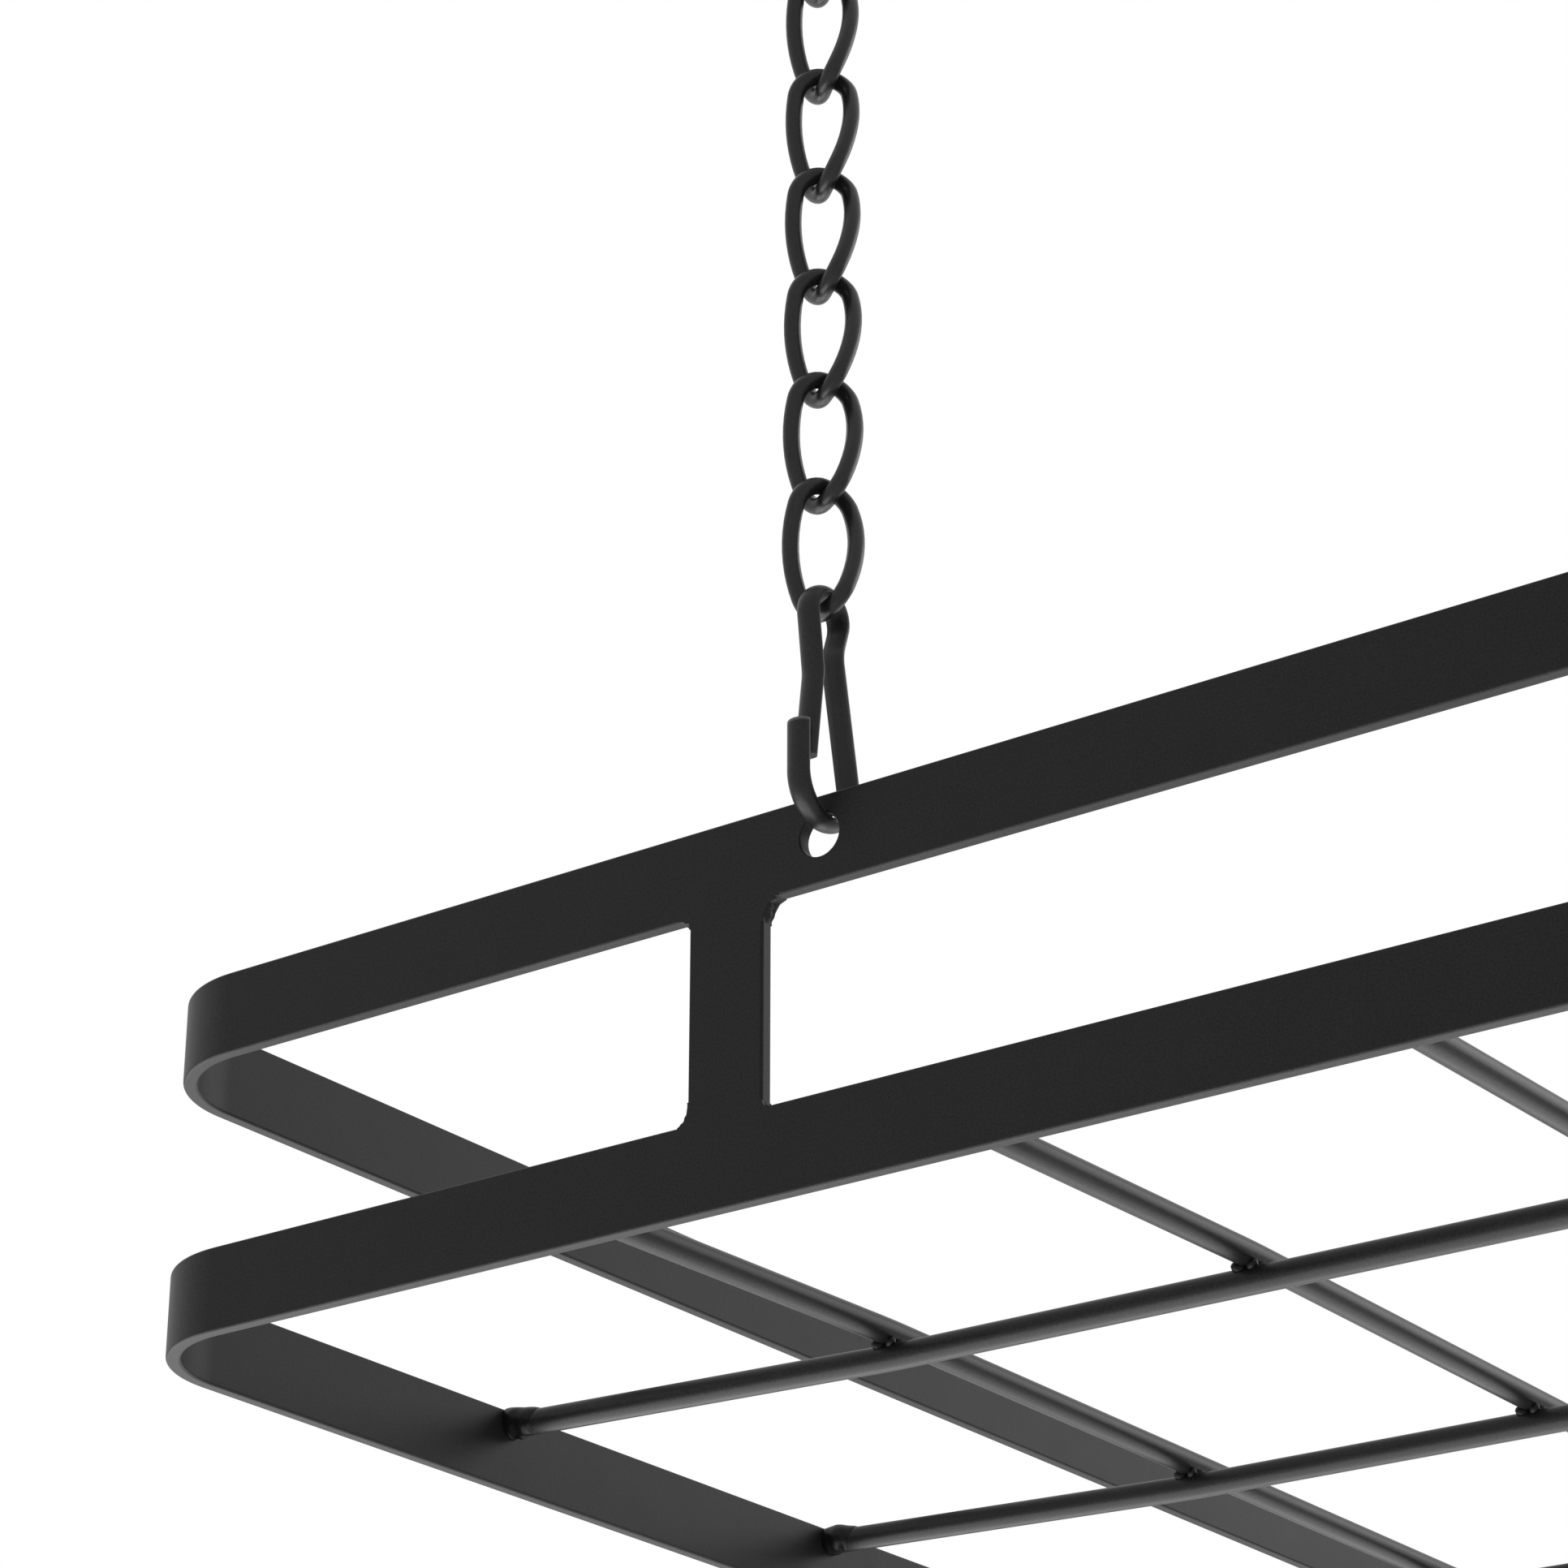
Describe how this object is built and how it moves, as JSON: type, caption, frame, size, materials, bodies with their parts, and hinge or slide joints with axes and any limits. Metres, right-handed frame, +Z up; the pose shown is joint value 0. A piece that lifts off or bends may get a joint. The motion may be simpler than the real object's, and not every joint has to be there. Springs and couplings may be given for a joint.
{
  "type": "hanging pot rack",
  "caption": "Rectangular ceiling pot rack: two tiers of flat bar joined by posts, a welded grid of round rods, and chains that hang it from ceiling screw hooks by snap hooks.",
  "frame": {"origin": "on the ceiling plane, at the centre of the four ceiling screws", "axes": "+X along the rack's long side, to the right as seen from the front; +Y from front to back; +Z up into the ceiling"},
  "size_m": [0.825, 0.7042, 0.4753],
  "materials": {
    "rails": "black powder coat, satin, with a fine orange-peel texture",
    "rods": "black powder coat, satin",
    "chain": "black coat, semi-gloss",
    "snap_hooks": "black coat, satin, worn bright along the tip's edge",
    "ceiling_hooks": "black coat, satin"
  },
  "bodies": {
    "ceiling_hooks": {"ceiling_hook_front_left": "ceiling_hooks", "ceiling_hook_front_right": "ceiling_hooks", "ceiling_hook_back_left": "ceiling_hooks", "ceiling_hook_back_right": "ceiling_hooks"},
    "top_link_front_left": {"top_link_front_left": "chain"},
    "chain_front_left": {"chain_front_left": "chain"},
    "snap_hook_front_left": {"snap_hook_front_left": "snap_hooks"},
    "hook_gate_front_left": {"hook_gate_front_left": "snap_hooks"},
    "top_link_front_right": {"top_link_front_right": "chain"},
    "chain_front_right": {"chain_front_right": "chain"},
    "snap_hook_front_right": {"snap_hook_front_right": "snap_hooks"},
    "hook_gate_front_right": {"hook_gate_front_right": "snap_hooks"},
    "top_link_back_left": {"top_link_back_left": "chain"},
    "chain_back_left": {"chain_back_left": "chain"},
    "snap_hook_back_left": {"snap_hook_back_left": "snap_hooks"},
    "hook_gate_back_left": {"hook_gate_back_left": "snap_hooks"},
    "top_link_back_right": {"top_link_back_right": "chain"},
    "chain_back_right": {"chain_back_right": "chain"},
    "snap_hook_back_right": {"snap_hook_back_right": "snap_hooks"},
    "hook_gate_back_right": {"hook_gate_back_right": "snap_hooks"},
    "rack": {"upper_rail": "rails", "lower_rail": "rails", "post_front_left": "rails", "post_front_right": "rails", "post_back_left": "rails", "post_back_right": "rails", "long_rod_1": "rods", "long_rod_2": "rods", "long_rod_3": "rods", "long_rod_4": "rods", "cross_rod_1": "rods", "cross_rod_2": "rods", "cross_rod_3": "rods", "cross_rod_4": "rods", "cross_rod_5": "rods", "cross_rod_6": "rods", "cross_rod_7": "rods"}
  },
  "joints": [
    {"name": "swing_front_back_front_left", "type": "hinge", "parent": "ceiling_hooks", "child": "top_link_front_left", "pos_m": [-0.2159, -0.34125, -0.02545], "axis": [1, 0, 0], "range_deg": [-15, 15]},
    {"name": "swing_left_right_front_left", "type": "hinge", "parent": "top_link_front_left", "child": "chain_front_left", "pos_m": [-0.2159, -0.34125, -0.04455], "axis": [0, 1, 0], "range_deg": [-15, 15]},
    {"name": "hook_turn_front_left", "type": "hinge", "parent": "chain_front_left", "child": "snap_hook_front_left", "pos_m": [-0.2159, -0.34125, -0.30955], "axis": [0, 1, 0], "range_deg": [-15, 15]},
    {"name": "rack_turn", "type": "hinge", "parent": "snap_hook_front_left", "child": "rack", "pos_m": [-0.2159, -0.34125, -0.3557], "axis": [1, 0, 0], "range_deg": [-15, 15]},
    {"name": "gate_front_left", "type": "hinge", "parent": "snap_hook_front_left", "child": "hook_gate_front_left", "pos_m": [-0.2159, -0.34745, -0.3167], "axis": [1, 0, 0], "range_deg": [0, 9], "stiffness_Nm_per_rad": 1, "springref_deg": -2.86},
    {"name": "swing_front_back_front_right", "type": "hinge", "parent": "ceiling_hooks", "child": "top_link_front_right", "pos_m": [0.2159, -0.34125, -0.02545], "axis": [1, 0, 0], "range_deg": [-15, 15]},
    {"name": "swing_left_right_front_right", "type": "hinge", "parent": "top_link_front_right", "child": "chain_front_right", "pos_m": [0.2159, -0.34125, -0.04455], "axis": [0, 1, 0], "range_deg": [-15, 15]},
    {"name": "hook_turn_front_right", "type": "hinge", "parent": "chain_front_right", "child": "snap_hook_front_right", "pos_m": [0.2159, -0.34125, -0.30955], "axis": [0, 1, 0], "range_deg": [-15, 15]},
    {"name": "gate_front_right", "type": "hinge", "parent": "snap_hook_front_right", "child": "hook_gate_front_right", "pos_m": [0.2159, -0.34745, -0.3167], "axis": [1, 0, 0], "range_deg": [0, 9], "stiffness_Nm_per_rad": 1, "springref_deg": -2.86},
    {"name": "swing_front_back_back_left", "type": "hinge", "parent": "ceiling_hooks", "child": "top_link_back_left", "pos_m": [-0.2159, 0.34125, -0.02545], "axis": [1, 0, 0], "range_deg": [-15, 15]},
    {"name": "swing_left_right_back_left", "type": "hinge", "parent": "top_link_back_left", "child": "chain_back_left", "pos_m": [-0.2159, 0.34125, -0.04455], "axis": [0, 1, 0], "range_deg": [-15, 15]},
    {"name": "hook_turn_back_left", "type": "hinge", "parent": "chain_back_left", "child": "snap_hook_back_left", "pos_m": [-0.2159, 0.34125, -0.30955], "axis": [0, 1, 0], "range_deg": [-15, 15]},
    {"name": "gate_back_left", "type": "hinge", "parent": "snap_hook_back_left", "child": "hook_gate_back_left", "pos_m": [-0.2159, 0.34745, -0.3167], "axis": [-1, 0, 0], "range_deg": [0, 9], "stiffness_Nm_per_rad": 1, "springref_deg": -2.86},
    {"name": "swing_front_back_back_right", "type": "hinge", "parent": "ceiling_hooks", "child": "top_link_back_right", "pos_m": [0.2159, 0.34125, -0.02545], "axis": [1, 0, 0], "range_deg": [-15, 15]},
    {"name": "swing_left_right_back_right", "type": "hinge", "parent": "top_link_back_right", "child": "chain_back_right", "pos_m": [0.2159, 0.34125, -0.04455], "axis": [0, 1, 0], "range_deg": [-15, 15]},
    {"name": "hook_turn_back_right", "type": "hinge", "parent": "chain_back_right", "child": "snap_hook_back_right", "pos_m": [0.2159, 0.34125, -0.30955], "axis": [0, 1, 0], "range_deg": [-15, 15]},
    {"name": "gate_back_right", "type": "hinge", "parent": "snap_hook_back_right", "child": "hook_gate_back_right", "pos_m": [0.2159, 0.34745, -0.3167], "axis": [-1, 0, 0], "range_deg": [0, 9], "stiffness_Nm_per_rad": 1, "springref_deg": -2.86}
  ],
  "couplings": [
    {"joint": "hook_turn_front_left", "follows": "swing_left_right_front_left", "ratio": -1},
    {"joint": "rack_turn", "follows": "swing_front_back_front_left", "ratio": -1},
    {"joint": "swing_front_back_front_right", "follows": "swing_front_back_front_left", "ratio": 1},
    {"joint": "swing_left_right_front_right", "follows": "swing_left_right_front_left", "ratio": 1},
    {"joint": "hook_turn_front_right", "follows": "swing_left_right_front_left", "ratio": -1},
    {"joint": "swing_front_back_back_left", "follows": "swing_front_back_front_left", "ratio": 1},
    {"joint": "swing_left_right_back_left", "follows": "swing_left_right_front_left", "ratio": 1},
    {"joint": "hook_turn_back_left", "follows": "swing_left_right_front_left", "ratio": -1},
    {"joint": "swing_front_back_back_right", "follows": "swing_front_back_front_left", "ratio": 1},
    {"joint": "swing_left_right_back_right", "follows": "swing_left_right_front_left", "ratio": 1},
    {"joint": "hook_turn_back_right", "follows": "swing_left_right_front_left", "ratio": -1}
  ]
}
